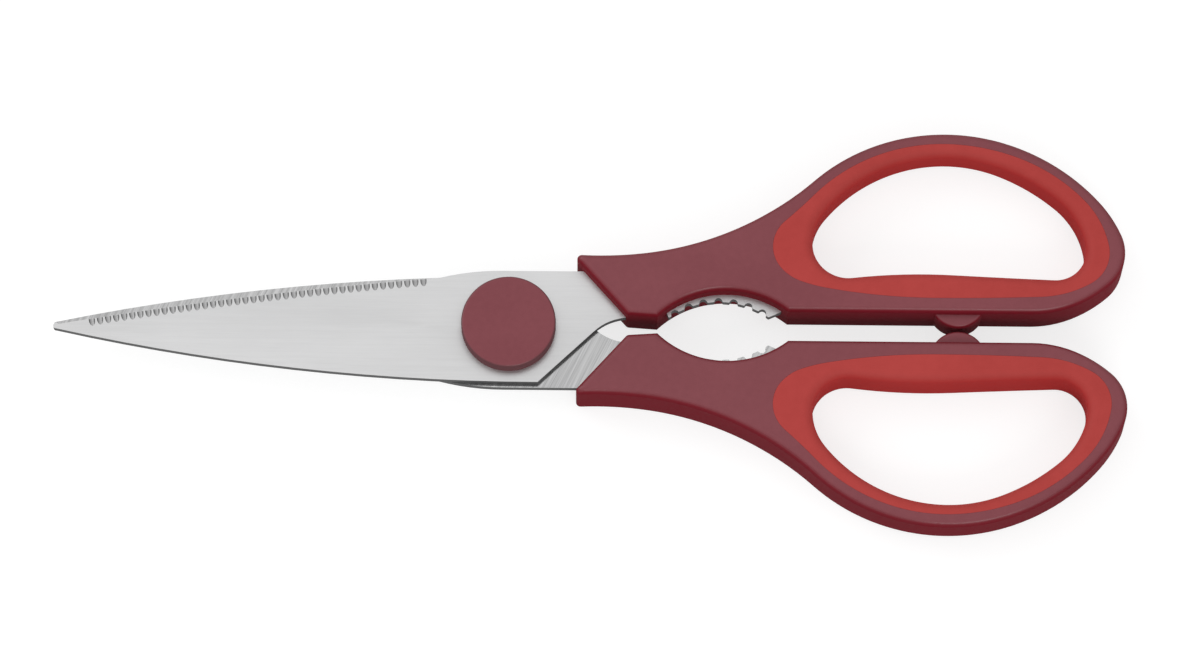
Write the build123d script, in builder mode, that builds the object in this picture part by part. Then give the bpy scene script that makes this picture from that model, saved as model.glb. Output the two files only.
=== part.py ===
from build123d import *
import math
import os

# Kitchen shears, lying flat and shut. X runs from the blade tips to the bows, Y across, Z up.
# The origin is on the surface they lie on, under the middle of their whole length.
# One half is the other turned over about the middle line, so both are drawn on a half's own
# plane: Z there points from the face where the blades meet to that half's outer face.

# Whole tool, measured from the pivot and from the middle line
tip_reach = 89.2
front_reach = 13.45
bow_reach = 120.8
half_width = 40.1
bar_half = 2.95

# Handles
handle_thick = 10.8
rim_fall = 1.2
crown_start = 12.0
handle_round = 1.3
corner_round = 0.8
fit_gap = 0.03
overrun = 2.0

# Outline of one handle, in shares of its length and of its height above the inner bar
bow_shares = [
    (-0.011, 0.307), (0.115, 0.315), (0.4325, 0.732), (0.790, 0.945),
    (0.955, 0.620), (0.9935, 0.440), (0.9715, 0.163),
]
bow_end_share = (0.828, 0.0)
bow_heading = -4
nose_shares = [(0.146, -0.035), (0.091, -0.024)]
jaw_mid_share = (0.270, 0.113)
jaw_end_share = (0.384, 0.0)

# Outer edge of the soft ring and edge of the finger hole, in the same shares
ring_shares = [
    (0.455, 0.125), (0.407, 0.162), (0.370, 0.238), (0.356, 0.355),
    (0.378, 0.494), (0.432, 0.645), (0.676, 0.939), (0.809, 0.860),
    (0.926, 0.626), (0.970, 0.373), (0.937, 0.164), (0.845, 0.086),
]
ring_heading = 170
hole_shares = [
    (0.502, 0.196), (0.429, 0.389), (0.452, 0.568), (0.676, 0.875),
    (0.773, 0.821), (0.876, 0.645), (0.928, 0.385), (0.870, 0.193),
]
hole_heading = 187

# Rib of the handle that keys the soft ring, and the ring's roll into the finger hole
rib_thick = 4.0
rib_reach = 1.2
roll_share = 0.86

# Stop bumper on the inner bar
bumper_share = 0.694
bumper_radius = 5.45
bumper_tip_half = 0.42
bumper_thick = 6.9
bumper_round = 0.6

# Blades
blade_thick = 1.6
blade_gap = 0.05
tip_round = 0.6
spine_tip_half = 0.93
edge_tip_half = 0.2
spine_bulge = 2.62
heel_out = 5.8
heel_half = 11.0
edge_bulge = 0.92
choil_back = 11.4
choil_half = 10.65
ricasso_back = 1.2
ricasso_half = 11.7
throat_out = 16.8
throat_drop = 0.5
neck_out = 22.7
neck_rise = 2.25
bevel_wide = 0.3
edge_land = 0.15

# Micro-serration along the front blade's edge
gullet_count = 42
gullet_radius = 0.62
gullet_reach = 1.8
gullet_depth = 1.0
gullet_start_share = 0.0895
gullet_end_share = 0.9294

# Tang inside the handle, with the toothed jaw plate, in the handle's shares
root_shares = [(0.134, 0.036), (0.158, 0.045)]
plate_shares = [(0.167, -0.018), (0.260, 0.073), (0.349, -0.009)]
tail_shares = [(0.370, 0.018), (0.382, 0.052), (0.399, 0.066), (0.399, 0.114), (0.339, 0.184)]
tang_top_share = 0.227
tooth_count = 7

# Radius of the notches between the teeth and of their rounded corners, in shares of the pitch
notch_share = 0.268
notch_round_share = 0.084

# Posts of the handle through the tang, in shares of the handle's length and of ricasso_half
anchor_shares = [(0.101, 0.655), (0.213, 0.765)]
anchor_radius = 1.6

# Pivot, a little above the middle line: slotted screw from the back, keyed in the rear blade,
# with its nut and washers under the cap
pivot_rise = 0.42
shoulder_dia = 7.0
turning_gap = 0.05
key_dia = 8.8
key_flats = 7.3
stack_gap = 0.02
screw_head_dia = 13.0
screw_head_height = 1.8
screw_head_round = 0.5
slot_wide = 1.6
slot_deep = 0.9
thread_dia = 5.0
washer_dia = 14.0
washer_thick = 0.35
spring_dia = 12.0
spring_sheet = 0.2
spring_rise = 0.3
nut_sides = 6
nut_flats = 9.0
nut_height = 0.95
nut_chamfer = 0.2
cap_dia = 18.5
cap_height = 3.0
cap_round = 0.5

# Places worked out from these sizes
pivot_x = (tip_reach - bow_reach) / 2
tip_x = pivot_x - tip_reach
front_x = pivot_x + front_reach
handle_length = bow_reach - front_reach
bow_height = half_width - bar_half
mid_z = handle_thick / 2
outer_local = blade_gap / 2 + blade_thick
crest_wall = (ring_shares[6][1] - hole_shares[3][1]) * bow_height
front_face_z = mid_z + outer_local
rear_face_z = mid_z - outer_local
washer_z = front_face_z + stack_gap
spring_z = washer_z + washer_thick + stack_gap
nut_z = spring_z + spring_sheet + spring_rise + stack_gap
head_z = rear_face_z - stack_gap - screw_head_height
cap_z = front_face_z + turning_gap
on_base = (Align.CENTER, Align.CENTER, Align.MIN)

upper = Plane(origin=(0, 0, mid_z), x_dir=(1, 0, 0), z_dir=(0, 0, 1))
lower = Plane(origin=(0, 0, mid_z), x_dir=(1, 0, 0), z_dir=(0, 0, -1))

os.makedirs("parts", exist_ok=True)


def bow_point(share):
    """Gives a place on a handle from its shares of the handle's length and height."""
    return Vector(front_x + share[0] * handle_length, bar_half + share[1] * bow_height)


def tangent_arcs(points, tangent):
    """Draws arcs from point to point, each tangent to the last, and gives the end tangent."""
    for start, end in zip(points, points[1:]):
        arc = TangentArc(start, end, tangent=tangent)
        tangent = arc % 1
    return tangent


def join_smoothly(start, start_tangent, end, end_tangent):
    """Joins two points by two arcs, smooth at both points and where the arcs meet."""
    span = end - start
    both = start_tangent + end_tangent
    turn = 2 * (1 - start_tangent.dot(end_tangent))
    ahead = span.dot(both)
    reach = (math.sqrt(ahead**2 + turn * span.dot(span)) - ahead) / turn
    meeting = (start + start_tangent * reach + end - end_tangent * reach) / 2
    tangent_arcs([start, meeting, end], start_tangent)


def draw_loop(shares, heading):
    """Draws a closed outline of tangent arcs, its last side along the inner bar."""
    points = [bow_point(share) for share in shares]
    start_tangent = Vector(1, 0).rotate(Axis.Z, heading)
    with BuildLine() as loop:
        end_tangent = tangent_arcs(points, start_tangent)
        join_smoothly(points[-1], end_tangent, points[0], start_tangent)
    make_face(loop.edges())


def draw_handle():
    """Draws the outer outline of one handle: bow, inner bar, jaw recess, nose and slanted front."""
    bow = [bow_point(share) for share in bow_shares]
    bow_end = bow_point(bow_end_share)
    jaw_end = bow_point(jaw_end_share)
    nose = [bow_point(share) for share in nose_shares]
    with BuildLine() as outline:
        tangent = tangent_arcs(bow, Vector(1, 0).rotate(Axis.Z, bow_heading))
        join_smoothly(bow[-1], tangent, bow_end, Vector(-1, 0))
        Line(bow_end, jaw_end)
        ThreePointArc(jaw_end, bow_point(jaw_mid_share), nose[0])
        Polyline(nose[0], nose[1], bow[0])
    handle_face = make_face(outline.edges())
    corners = handle_face.vertices().sort_by(Axis.X)[:2]
    fillet(corners, radius=corner_round)


def draw_blade():
    """Draws a blade from tip to tang, its spine towards -Y, without teeth."""
    spine_start = (tip_x + tip_round, -spine_tip_half)
    edge_start = (tip_x + tip_round, edge_tip_half)
    tip = (tip_x, (edge_tip_half - spine_tip_half) / 2)
    heel = (pivot_x + heel_out, -heel_half)
    throat = (pivot_x + throat_out, -throat_drop)
    neck = (pivot_x + neck_out, neck_rise)
    root = [bow_point(share) for share in root_shares]
    plate = [bow_point(share) for share in plate_shares]
    tail = [bow_point(share) for share in tail_shares]
    tang_top = (front_x + tang_top_share * handle_length, ricasso_half)
    ricasso = (pivot_x - ricasso_back, ricasso_half)
    choil = (pivot_x - choil_back, choil_half)
    with BuildLine() as outline:
        SagittaArc(spine_start, heel, -spine_bulge)
        diagonal = Line(heel, throat)
        TangentArc(throat, neck, tangent=diagonal % 1)
        Polyline(neck, *root, plate[0])
        ThreePointArc(*plate)
        Polyline(plate[-1], *tail, tang_top, ricasso)
        TangentArc(ricasso, choil, tangent=(-1, 0))
        SagittaArc(choil, edge_start, -edge_bulge)
        ThreePointArc(edge_start, tip, spine_start)
    make_face(outline.edges())
    anchors = [(front_x + out * handle_length, rise * ricasso_half) for out, rise in anchor_shares]
    with Locations(*anchors):
        Circle(anchor_radius, mode=Mode.SUBTRACT)


def jaw_edge():
    """Gives the edge of the jaw plate before its notches are cut."""
    return ThreePointArc(*[bow_point(share) for share in plate_shares], mode=Mode.PRIVATE)


def gullet_places(side):
    """Gives a slanted place at the cutting edge for each scoop of the serration."""
    edge_start = (tip_x + tip_round, edge_tip_half)
    choil = (pivot_x - choil_back, choil_half)
    edge = SagittaArc(edge_start, choil, edge_bulge, mode=Mode.PRIVATE)
    step_share = (gullet_end_share - gullet_start_share) / (gullet_count - 1)
    places = []
    for index in range(gullet_count):
        share = gullet_start_share + step_share * index
        spot = edge @ share + Vector(0, 0, outer_local - gullet_depth)
        along = edge % share
        inward = along.rotate(Axis.Z, -90)
        axis = inward * gullet_reach + Vector(0, 0, gullet_depth)
        raised = Vector(0, 0, gullet_reach) - inward * gullet_depth
        centre = spot + raised.normalized() * gullet_radius
        places.append(side.location * Plane(origin=centre, x_dir=along, z_dir=axis).location)
    return places


def make_blade(side, serrated):
    """Makes one blade with its tang and jaw teeth, before its pivot hole is cut."""
    with BuildPart() as blade:
        with BuildSketch(side.offset(blade_gap / 2)) as profile:
            draw_blade()
            plate_edge = jaw_edge()
            pitch = plate_edge.length / tooth_count
            with Locations(*[plate_edge @ ((index + 0.5) / tooth_count) for index in range(tooth_count)]):
                Circle(notch_share * pitch, mode=Mode.SUBTRACT)
            teeth = profile.vertices().filter_by_position(
                Axis.X, bow_point(plate_shares[0]).X, bow_point(plate_shares[-1]).X
            )
            teeth = teeth.filter_by_position(Axis.Y, 0, bow_point(jaw_mid_share).Y)
            fillet(teeth, radius=notch_round_share * pitch)
        extrude(amount=blade_thick)

        # The cutting edge is the flattest arc of the outer face
        outer_face = blade.faces().sort_by(Axis(side.origin, side.z_dir))[-1]
        arcs = outer_face.edges().filter_by(GeomType.CIRCLE).sort_by(lambda edge: edge.radius)
        chamfer(arcs[-1], length=bevel_wide, length2=blade_thick - edge_land, reference=outer_face)
        if serrated:
            with Locations(*gullet_places(side)):
                Cylinder(gullet_radius, 2 * (gullet_reach + overrun), mode=Mode.SUBTRACT)
    return blade.part


def keep_crowned(side):
    """Keeps what lies between the two faces of a handle, which fall gently towards the rim."""
    face_half = handle_thick / 2
    rim_half = face_half - rim_fall
    outside = half_width + overrun
    section = Plane(origin=side.origin, x_dir=side.y_dir, z_dir=side.x_dir)
    with BuildSketch(section) as profile:
        with BuildLine() as outline:
            for half in (face_half, -face_half):
                rim = math.copysign(rim_half, half)
                Polyline((-overrun, 0), (-overrun, half), (crown_start, half))
                TangentArc((crown_start, half), (half_width, rim), tangent=(1, 0))
                Polyline((half_width, rim), (outside, rim), (outside, 0))
        make_face(outline.edges())
    extrude(profile.sketch, amount=bow_reach, both=True, mode=Mode.INTERSECT)


with BuildPart() as front_blade:
    add(make_blade(upper, True))
    with Locations((pivot_x, pivot_rise, mid_z)):
        Hole(shoulder_dia / 2 + turning_gap)
front_blade.part.label = "front_blade"
export_step(front_blade.part, "parts/front_blade.step")

with BuildPart() as rear_blade:
    add(make_blade(lower, False))
    with BuildSketch(Plane.XY.offset(rear_face_z)):
        with Locations((pivot_x, pivot_rise)):
            Circle(key_dia / 2 + fit_gap)
            Rectangle(key_dia + overrun, key_flats + 2 * fit_gap, mode=Mode.INTERSECT)
    extrude(amount=blade_thick, mode=Mode.SUBTRACT)
rear_blade.part.label = "rear_blade"
export_step(rear_blade.part, "parts/rear_blade.step")

for side, label in ((upper, "upper_handle"), (lower, "lower_handle")):
    with BuildPart() as handle:
        with BuildSketch(side.offset(-handle_thick / 2)):
            draw_handle()
        extrude(amount=handle_thick)
        keep_crowned(side)
        walls = handle.faces().filter_by(lambda face: abs(face.normal_at().Z) < 0.5)
        fillet(walls.edges().filter_by(Axis.Z, reverse=True), radius=handle_round)

        # The back of this disc goes when the room for the soft ring is cut
        with BuildPart(side, mode=Mode.PRIVATE) as bumper:
            with Locations((front_x + bumper_share * handle_length, bumper_tip_half + bumper_radius)):
                Cylinder(bumper_radius, bumper_thick)
            fillet(bumper.edges().filter_by(GeomType.CIRCLE), radius=bumper_round)
        add(bumper.part)

        with BuildSketch(side.offset(rib_thick / 2), side.offset(-handle_thick / 2 - overrun)):
            draw_loop(ring_shares, ring_heading)
        extrude(amount=(handle_thick - rib_thick) / 2 + overrun, mode=Mode.SUBTRACT)
        with BuildSketch(side.offset(-rib_thick / 2 - overrun)):
            draw_loop(ring_shares, ring_heading)
            offset(amount=-rib_reach)
        extrude(amount=rib_thick + 2 * overrun, mode=Mode.SUBTRACT)

        with BuildSketch(side.offset(blade_gap / 2 - fit_gap)):
            draw_blade()
            offset(amount=fit_gap)
        extrude(amount=blade_thick + 2 * fit_gap, mode=Mode.SUBTRACT)
    handle.part.label = label
    export_step(handle.part, f"parts/{label}.step")

for side, label in ((upper, "upper_grip"), (lower, "lower_grip")):
    with BuildPart() as grip:
        with BuildSketch(side.offset(-handle_thick / 2)):
            draw_loop(ring_shares, ring_heading)
            offset(amount=-fit_gap)
        extrude(amount=handle_thick)
        keep_crowned(side)

        with BuildSketch(side.offset(-handle_thick / 2)):
            draw_loop(hole_shares, hole_heading)
        extrude(amount=handle_thick, mode=Mode.SUBTRACT)
        rims = grip.edges(Select.LAST).filter_by(Axis.Z, reverse=True).filter_by(Axis.X, reverse=True)
        fillet(rims, radius=roll_share * crest_wall)

        with BuildPart(mode=Mode.PRIVATE) as groove:
            with BuildSketch(side.offset(-rib_thick / 2 - fit_gap)):
                draw_loop(ring_shares, ring_heading)
                offset(amount=overrun)
            extrude(amount=rib_thick + 2 * fit_gap)
            with BuildSketch(side.offset(-rib_thick / 2 - fit_gap)):
                draw_loop(ring_shares, ring_heading)
                offset(amount=-rib_reach - fit_gap)
            extrude(amount=rib_thick + 2 * fit_gap, mode=Mode.SUBTRACT)
        add(groove.part, mode=Mode.SUBTRACT)
    grip.part.label = label
    export_step(grip.part, f"parts/{label}.step")

with BuildPart() as pivot_screw:
    with Locations((pivot_x, pivot_rise, head_z)):
        Cylinder(screw_head_dia / 2, screw_head_height, align=on_base)
    fillet(pivot_screw.edges().sort_by(Axis.Z)[0], radius=screw_head_round)
    with Locations((pivot_x, pivot_rise, head_z)):
        Box(screw_head_dia + overrun, slot_wide, 2 * slot_deep, mode=Mode.SUBTRACT)
    with BuildSketch(Plane.XY.offset(head_z + screw_head_height)):
        with Locations((pivot_x, pivot_rise)):
            Circle(key_dia / 2)
            Rectangle(key_dia, key_flats, mode=Mode.INTERSECT)
    extrude(amount=stack_gap + blade_thick)
    with Locations((pivot_x, pivot_rise, rear_face_z + blade_thick)):
        Cylinder(shoulder_dia / 2, nut_z - stack_gap - rear_face_z - blade_thick, align=on_base)
    with Locations((pivot_x, pivot_rise, nut_z - stack_gap)):
        Cylinder(thread_dia / 2, stack_gap + nut_height, align=on_base)
pivot_screw.part.label = "pivot_screw"
export_step(pivot_screw.part, "parts/pivot_screw.step")

with BuildPart() as bearing_washer:
    with Locations((pivot_x, pivot_rise, washer_z)):
        Cylinder(washer_dia / 2, washer_thick, align=on_base)
        Cylinder(shoulder_dia / 2 + turning_gap, washer_thick, align=on_base, mode=Mode.SUBTRACT)
bearing_washer.part.label = "bearing_washer"
export_step(bearing_washer.part, "parts/bearing_washer.step")

with BuildPart() as spring_washer:
    with BuildSketch(Plane(origin=(pivot_x, pivot_rise, spring_z), x_dir=(1, 0, 0), z_dir=(0, -1, 0))):
        with BuildLine():
            Polyline(
                (spring_dia / 2, 0),
                (spring_dia / 2, spring_sheet),
                (shoulder_dia / 2 + turning_gap, spring_rise + spring_sheet),
                (shoulder_dia / 2 + turning_gap, spring_rise),
                close=True,
            )
        make_face()
    revolve(axis=Axis((pivot_x, pivot_rise, 0), (0, 0, 1)))
spring_washer.part.label = "spring_washer"
export_step(spring_washer.part, "parts/spring_washer.step")

with BuildPart() as pivot_nut:
    with BuildSketch(Plane.XY.offset(nut_z)):
        with Locations((pivot_x, pivot_rise)):
            RegularPolygon(nut_flats / 2, nut_sides, major_radius=False)
            Circle(thread_dia / 2 + fit_gap, mode=Mode.SUBTRACT)
    extrude(amount=nut_height)
    chamfer(pivot_nut.edges().filter_by(GeomType.LINE).group_by(Axis.Z)[-1], length=nut_chamfer)
pivot_nut.part.label = "pivot_nut"
export_step(pivot_nut.part, "parts/pivot_nut.step")

with BuildPart() as pivot_cap:
    with Locations((pivot_x, pivot_rise, cap_z)):
        Cylinder(cap_dia / 2, cap_height, align=on_base)
    fillet(pivot_cap.edges().sort_by(Axis.Z)[-1], radius=cap_round)
    with Locations((pivot_x, pivot_rise, cap_z)):
        Cylinder(washer_dia / 2 + fit_gap, nut_z - stack_gap - cap_z, align=on_base, mode=Mode.SUBTRACT)
    with BuildSketch(Plane.XY.offset(cap_z)):
        with Locations((pivot_x, pivot_rise)):
            RegularPolygon(nut_flats / 2 + fit_gap, nut_sides, major_radius=False)
    extrude(amount=nut_z + nut_height + stack_gap - cap_z, mode=Mode.SUBTRACT)
pivot_cap.part.label = "pivot_cap"
export_step(pivot_cap.part, "parts/pivot_cap.step")
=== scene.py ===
import math

import bpy
from mathutils import Matrix, Vector


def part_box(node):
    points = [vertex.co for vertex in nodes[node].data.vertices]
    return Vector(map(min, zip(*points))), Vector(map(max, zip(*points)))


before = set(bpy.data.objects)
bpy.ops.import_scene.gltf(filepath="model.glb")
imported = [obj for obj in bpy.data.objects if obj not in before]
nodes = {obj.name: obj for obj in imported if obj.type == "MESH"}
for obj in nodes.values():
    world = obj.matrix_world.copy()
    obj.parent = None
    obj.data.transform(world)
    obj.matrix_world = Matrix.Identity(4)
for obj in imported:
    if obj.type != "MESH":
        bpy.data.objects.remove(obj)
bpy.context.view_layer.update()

scene = bpy.context.scene

# The image is taken as 1200 by 672 pixels
image_wide = 1200


# ---------------------------------------------------------------- camera

def make_camera():
    """Looks down on the closed shears from their lower side, as the photograph does."""
    azimuth = math.radians(-0.02)
    elevation = math.radians(73.17)
    roll = math.radians(0.497)
    distance = 1.373
    pixels_per_metre = 5101.0
    target = Vector((0.002129, -0.001019, 0.0054))
    ahead = Vector((
        math.sin(azimuth) * math.cos(elevation),
        math.cos(azimuth) * math.cos(elevation),
        -math.sin(elevation),
    ))
    level = Vector((math.cos(azimuth), -math.sin(azimuth), 0.0))
    above = level.cross(ahead)
    right = level * math.cos(roll) + above * math.sin(roll)
    up = above * math.cos(roll) - level * math.sin(roll)
    place = target - ahead * distance
    data = bpy.data.cameras.new("camera")
    data.sensor_fit = "HORIZONTAL"
    data.sensor_width = 36.0
    data.lens = pixels_per_metre * distance / image_wide * data.sensor_width
    data.clip_start = 0.05
    data.clip_end = 50.0
    camera = bpy.data.objects.new("camera", data)
    scene.collection.objects.link(camera)
    camera.matrix_world = Matrix((
        (right.x, up.x, -ahead.x, place.x),
        (right.y, up.y, -ahead.y, place.y),
        (right.z, up.z, -ahead.z, place.z),
        (0.0, 0.0, 0.0, 1.0),
    ))
    scene.camera = camera


# ---------------------------------------------------------------- node helpers

class Graph:
    """A material under construction, with short ways to add and join its nodes."""

    def __init__(self, name):
        self.material = bpy.data.materials.new(name)
        self.material.use_nodes = True
        self.tree = self.material.node_tree
        self.tree.nodes.clear()
        self.output = self.tree.nodes.new("ShaderNodeOutputMaterial")
        self.coords = self.tree.nodes.new("ShaderNodeTexCoord").outputs["Object"]

    def add(self, kind, **settings):
        node = self.tree.nodes.new(kind)
        for key, value in settings.items():
            setattr(node, key, value)
        return node

    def join(self, source, socket):
        self.tree.links.new(source, socket)

    def put(self, socket, value):
        """Joins an output to a socket, or sets the socket to a plain value."""
        if isinstance(value, bpy.types.NodeSocket):
            self.join(value, socket)
        else:
            socket.default_value = value

    def turned(self, degrees):
        """The object's own coordinates, turned about Z."""
        node = self.add("ShaderNodeMapping")
        self.join(self.coords, node.inputs["Vector"])
        node.inputs["Rotation"].default_value = (0.0, 0.0, math.radians(degrees))
        return node.outputs["Vector"]

    def noise(self, size, detail=3.0, rough=0.5, vector=None):
        """Noise whose features have this size in metres along X, Y and Z."""
        stretch = self.add("ShaderNodeMapping")
        self.join(self.coords if vector is None else vector, stretch.inputs["Vector"])
        stretch.inputs["Scale"].default_value = [1.0 / length for length in size]
        node = self.add("ShaderNodeTexNoise")
        self.join(stretch.outputs["Vector"], node.inputs["Vector"])
        node.inputs["Scale"].default_value = 1.0
        node.inputs["Detail"].default_value = detail
        node.inputs["Roughness"].default_value = rough
        return node.outputs["Fac"]

    def math(self, operation, first, second=0.0):
        node = self.add("ShaderNodeMath", operation=operation)
        self.put(node.inputs[0], first)
        self.put(node.inputs[1], second)
        return node.outputs[0]

    def weigh(self, first, share, second):
        """A mean of two values, the first with this share."""
        return self.math("ADD", self.math("MULTIPLY", first, share),
                         self.math("MULTIPLY", second, 1.0 - share))

    def spread(self, value, low, high, new_low=0.0, new_high=1.0):
        """Stretches the values from low to high over a new range, and holds them within it."""
        node = self.add("ShaderNodeMapRange")
        self.put(node.inputs["Value"], value)
        node.inputs["From Min"].default_value = low
        node.inputs["From Max"].default_value = high
        node.inputs["To Min"].default_value = new_low
        node.inputs["To Max"].default_value = new_high
        return node.outputs["Result"]

    def blend(self, share, first, second):
        node = self.add("ShaderNodeMix", data_type="RGBA")
        self.put(node.inputs["Factor"], share)
        self.put(node.inputs["A"], first)
        self.put(node.inputs["B"], second)
        return node.outputs["Result"]

    def ramp(self, value, stops):
        """Colours along a value, from a list of places and colours."""
        node = self.add("ShaderNodeValToRGB")
        self.put(node.inputs["Fac"], value)
        elements = node.color_ramp.elements
        while len(elements) < len(stops):
            elements.new(0.5)
        for element, (place, colour) in zip(elements, stops):
            element.position = place
            element.color = colour
        return node.outputs["Color"]

    def bump(self, height, depth):
        """Shading of a surface with this height map, whose full depth is given in metres."""
        node = self.add("ShaderNodeBump")
        self.join(height, node.inputs["Height"])
        node.inputs["Distance"].default_value = depth
        node.inputs["Strength"].default_value = 1.0
        return node.outputs["Normal"]

    def facing(self):
        """How far a surface faces up: 1 on a face that looks up, 0 on a wall, -1 on one that looks down."""
        split = self.add("ShaderNodeSeparateXYZ")
        self.join(self.add("ShaderNodeNewGeometry").outputs["Normal"], split.inputs[0])
        return split.outputs["Z"]

    def surface(self, colour, roughness, normal, **constants):
        shader = self.add("ShaderNodeBsdfPrincipled")
        self.put(shader.inputs["Base Color"], colour)
        self.put(shader.inputs["Roughness"], roughness)
        self.join(normal, shader.inputs["Normal"])
        for key, value in constants.items():
            shader.inputs[key.replace("_", " ")].default_value = value
        self.join(shader.outputs[0], self.output.inputs["Surface"])
        return self.material


def grey(level):
    """A steel grey, a trace bluer than neutral."""
    return (level, level, level * 1.005, 1.0)


# ---------------------------------------------------------------- materials

def blade_steel(name, inner_sign):
    """Satin steel. The outer face has a fine lengthwise grain. The face that meets the other
    blade, which faces up where inner_sign is 1 and down where it is -1, has slanted grinding
    stripes. The ground bevel is bright. Cut edges and the scoops of the serration are darker,
    partly as their own worked finish and partly as painted shade for the dark surroundings they mirror."""
    g = Graph(name)
    hair = g.noise((0.006, 0.00014, 0.00014), detail=4.0, rough=0.7)
    streak = g.noise((0.03, 0.0006, 0.0006), detail=3.0)
    cloud = g.noise((0.03, 0.012, 0.012), detail=2.0)
    across = g.turned(-64.0)
    stripe = g.noise((0.03, 0.0006, 0.0006), detail=2.0, rough=0.5, vector=across)
    cut = g.noise((0.012, 0.00018, 0.00018), detail=3.0, rough=0.65, vector=across)

    # Flat faces, brushed outside and ground inside
    brushed = g.spread(g.weigh(g.weigh(hair, 0.6, streak), 0.8, cloud), 0.36, 0.64)
    outer = g.blend(brushed, grey(0.59), grey(0.64))
    ground = g.blend(g.spread(g.weigh(stripe, 0.55, cut), 0.38, 0.62), grey(0.38), grey(0.60))
    facing = g.facing()
    inner = g.math("GREATER_THAN", g.math("MULTIPLY", facing, float(inner_sign)), 0.97)
    flat = g.blend(inner, outer, ground)

    # Cut edges, bevel and scoops, by how steep they stand; the dark greys of cut edges and scoops are
    # partly a worked finish and partly painted shade
    slant = g.math("ABSOLUTE", facing)
    worked_and_shaded = g.ramp(g.math("ADD", slant, g.spread(hair, 0.3, 0.7, -0.05, 0.05)), [
        (0.0, grey(0.12)), (0.11, grey(0.13)), (0.16, grey(0.42)), (0.25, grey(0.42)),
        (0.31, grey(0.12)), (0.62, grey(0.18)), (0.84, grey(0.36)), (1.0, grey(0.45)),
    ])
    colour = g.blend(g.spread(slant, 0.955, 0.985), worked_and_shaded, flat)

    height = g.blend(inner, g.weigh(hair, 0.7, streak), g.weigh(stripe, 0.5, cut))
    satin = g.spread(g.weigh(hair, 0.5, cloud), 0.3, 0.7, 0.3, 0.44)
    satin = g.math("SUBTRACT", satin, g.math("MULTIPLY", inner, 0.22))
    roughness = g.math("ADD", satin, g.spread(slant, 0.2, 0.9, 0.36, 0.0))
    return g.surface(colour, roughness, g.bump(height, 0.000006), Metallic=1.0, Anisotropic=0.4)


def turned_steel(name):
    """Steel of the fasteners, with fine rings round the pivot."""
    rings_per_metre = 5200.0
    g = Graph(name)
    low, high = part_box("pivot_screw")
    from_middle = g.add("ShaderNodeVectorMath", operation="SUBTRACT")
    g.join(g.coords, from_middle.inputs[0])
    from_middle.inputs[1].default_value = (low + high) / 2
    flat = g.add("ShaderNodeVectorMath", operation="MULTIPLY")
    g.join(from_middle.outputs[0], flat.inputs[0])
    flat.inputs[1].default_value = (1.0, 1.0, 0.0)
    reach = g.add("ShaderNodeVectorMath", operation="LENGTH")
    g.join(flat.outputs[0], reach.inputs[0])
    rings = g.add("ShaderNodeTexNoise", noise_dimensions="1D")
    g.join(reach.outputs["Value"], rings.inputs["W"])
    rings.inputs["Scale"].default_value = rings_per_metre
    rings.inputs["Detail"].default_value = 2.0
    ring = rings.outputs["Fac"]
    cloud = g.noise((0.006, 0.006, 0.006))
    tone = g.weigh(ring, 0.6, cloud)
    colour = g.blend(g.spread(tone, 0.35, 0.65), grey(0.42), grey(0.56))
    roughness = g.spread(tone, 0.35, 0.65, 0.26, 0.42)
    return g.surface(colour, roughness, g.bump(ring, 0.000006), Metallic=1.0)


def hard_plastic(name, wall_dark, wall_light):
    """Dark red moulding. Its faces carry a pale painted sheen, and its walls are painted deeper and darker,
    as shade where no bright light is mirrored; its rounded edges are smoother from use."""
    g = Graph(name)
    grain = g.noise((0.00022, 0.00022, 0.00022), detail=2.0, rough=0.6)
    skin = g.noise((0.0013, 0.0013, 0.0013))
    flow = g.noise((0.03, 0.014, 0.014), detail=2.0)
    fine = g.weigh(grain, 0.5, skin)
    tone = g.spread(g.weigh(fine, 0.55, flow), 0.38, 0.62)
    face_with_painted_sheen = g.blend(tone, (0.196, 0.048, 0.059, 1.0), (0.222, 0.058, 0.070, 1.0))
    wall = g.blend(tone, wall_dark, wall_light)
    slant = g.math("ABSOLUTE", g.facing())
    # Painted sheen on faces that look up, painted deeper shade on the walls
    colour = g.blend(g.spread(slant, 0.62, 0.985), wall, face_with_painted_sheen)
    satin = g.spread(fine, 0.3, 0.7, 0.46, 0.58)
    worn = g.spread(g.math("ABSOLUTE", g.math("SUBTRACT", slant, 0.83)), 0.0, 0.16, 0.28, 0.0)
    dull = g.spread(slant, 0.2, 0.7, 0.36, 0.0)
    roughness = g.math("ADD", g.math("SUBTRACT", satin, worn), dull)
    height = g.weigh(grain, 0.6, skin)
    return g.surface(colour, roughness, g.bump(height, 0.000018), IOR=1.46, Specular_IOR_Level=0.28)


def soft_plastic(name, face_dark, face_light, wall_dark, wall_light):
    """Matt soft moulding with a painted pale sheen on its faces, so that it looks a little deeper in colour
    where it rolls into the finger hole.
    """
    g = Graph(name)
    grain = g.noise((0.00026, 0.00026, 0.00026), detail=2.0, rough=0.55)
    skin = g.noise((0.002, 0.002, 0.002))
    flow = g.noise((0.02, 0.02, 0.02), detail=2.0)
    tone = g.spread(g.weigh(g.weigh(grain, 0.4, skin), 0.5, flow), 0.38, 0.62)
    face_with_painted_sheen = g.blend(tone, face_dark, face_light)
    wall = g.blend(tone, wall_dark, wall_light)
    slant = g.math("ABSOLUTE", g.facing())
    # Painted sheen on faces that look up; the walls keep the deeper colour without it
    colour = g.blend(g.spread(slant, 0.05, 0.7), wall, face_with_painted_sheen)
    fine = g.weigh(grain, 0.5, skin)
    satin = g.spread(fine, 0.3, 0.7, 0.56, 0.72)
    roughness = g.math("ADD", satin, g.spread(slant, 0.1, 0.8, 0.2, 0.0))
    return g.surface(colour, roughness, g.bump(fine, 0.00001), IOR=1.46, Specular_IOR_Level=0.18)


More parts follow.
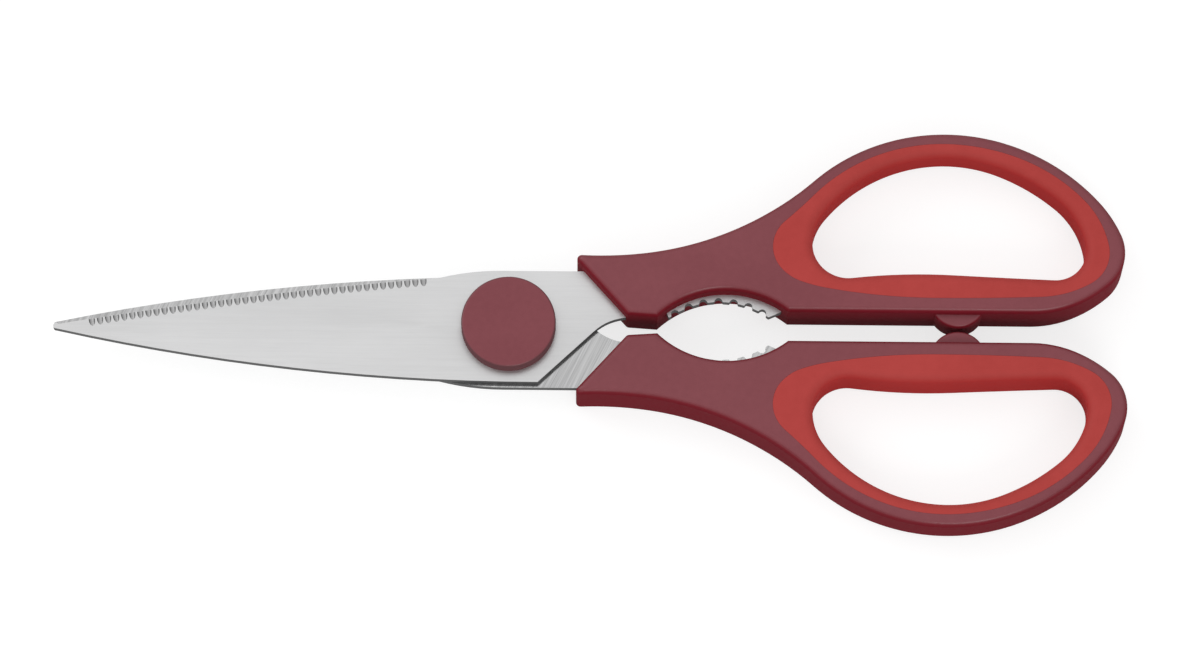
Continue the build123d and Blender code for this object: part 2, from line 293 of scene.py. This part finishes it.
def dress():
    """Gives each piece its material."""
    # Handle walls: painted deep dark shade, without the painted sheen of the faces
    red = hard_plastic("handle_red", (0.140, 0.0008, 0.007, 1.0), (0.170, 0.002, 0.011, 1.0))
    # Cap walls: painted greyer, darker shade on the rim
    cap = hard_plastic("cap_red", (0.110, 0.036, 0.042, 1.0), (0.130, 0.046, 0.052, 1.0))
    # Grip faces carry painted sheen; its walls are the deeper red without it
    soft = soft_plastic("grip_red", (0.40, 0.045, 0.040, 1.0), (0.445, 0.054, 0.049, 1.0),
                        (0.45, 0.027, 0.026, 1.0), (0.50, 0.037, 0.035, 1.0))
    # Washer walls are painted darker as shade on its sides
    white = soft_plastic("washer_white", (0.60, 0.59, 0.56, 1.0), (0.68, 0.67, 0.64, 1.0),
                         (0.55, 0.54, 0.51, 1.0), (0.62, 0.61, 0.58, 1.0))
    steel = turned_steel("pivot_steel")
    looks = {
        "front_blade": blade_steel("front_blade_steel", -1),
        "rear_blade": blade_steel("rear_blade_steel", 1),
        "upper_handle": red,
        "lower_handle": red,
        "pivot_cap": cap,
        "upper_grip": soft,
        "lower_grip": soft,
        "pivot_screw": steel,
        "pivot_nut": steel,
        "spring_washer": steel,
        "bearing_washer": white,
    }
    for name, look in looks.items():
        for slot in nodes[name].material_slots:
            slot.material = look


# ---------------------------------------------------------------- stage and light

def seen_rays(tree):
    """Is 1 for camera, mirror and glass rays, and 0 for the rays that light the object."""
    rays = tree.nodes.new("ShaderNodeLightPath")
    seen = rays.outputs["Is Camera Ray"]
    for other in ("Is Glossy Ray", "Is Transmission Ray"):
        either = tree.nodes.new("ShaderNodeMath")
        either.operation = "MAXIMUM"
        tree.links.new(seen, either.inputs[0])
        tree.links.new(rays.outputs[other], either.inputs[1])
        seen = either.outputs[0]
    return seen


def make_floor(colour, glow_level):
    """A plain white floor that keeps the shadow. Its glow doesn't light the object."""
    half = 3.0
    sunk = 0.00005
    mesh = bpy.data.meshes.new("floor")
    mesh.from_pydata([(-half, -half, 0.0), (half, -half, 0.0), (half, half, 0.0), (-half, half, 0.0)],
                     [], [(0, 1, 2, 3)])
    floor = bpy.data.objects.new("floor", mesh)
    scene.collection.objects.link(floor)
    g = Graph("floor_white")
    diffuse = g.add("ShaderNodeBsdfDiffuse")
    diffuse.inputs["Color"].default_value = colour
    glow = g.add("ShaderNodeEmission")
    g.join(g.math("MULTIPLY", seen_rays(g.tree), glow_level), glow.inputs["Strength"])
    both = g.add("ShaderNodeAddShader")
    g.join(diffuse.outputs[0], both.inputs[0])
    g.join(glow.outputs[0], both.inputs[1])
    g.join(both.outputs[0], g.output.inputs["Surface"])
    mesh.materials.append(g.material)
    floor.location = (0.0, 0.0, -sunk)


def make_world(level):
    """White where it is seen, mirrored or looked through, and plain soft light elsewhere."""
    world = bpy.data.worlds.new("world")
    scene.world = world
    world.use_nodes = True
    tree = world.node_tree
    back = tree.nodes["Background"]
    strength = tree.nodes.new("ShaderNodeMapRange")
    tree.links.new(seen_rays(tree), strength.inputs["Value"])
    strength.inputs["To Min"].default_value = level
    strength.inputs["To Max"].default_value = 1.0
    tree.links.new(strength.outputs["Result"], back.inputs["Strength"])
    back.inputs["Color"].default_value = (1.0, 1.0, 1.0, 1.0)


def make_lamp(name, place, size, watts):
    """Adds a soft lamp that is aimed at the origin."""
    data = bpy.data.lights.new(name, "AREA")
    data.shape = "RECTANGLE"
    data.size, data.size_y = size
    data.energy = watts
    lamp = bpy.data.objects.new(name, data)
    scene.collection.objects.link(lamp)
    lamp.location = place
    lamp.rotation_euler = (-Vector(place)).to_track_quat("-Z", "Y").to_euler()


make_camera()
dress()
make_floor(colour=(0.36, 0.36, 0.36, 1.0), glow_level=0.74)
make_world(level=0.7)
make_lamp("key", place=(-1.2, 0.8, 0.9), size=(1.2, 1.0), watts=8.5)
make_lamp("fill", place=(0.35, -1.1, 0.9), size=(0.6, 0.5), watts=5.0)

scene.view_settings.view_transform = "Standard"
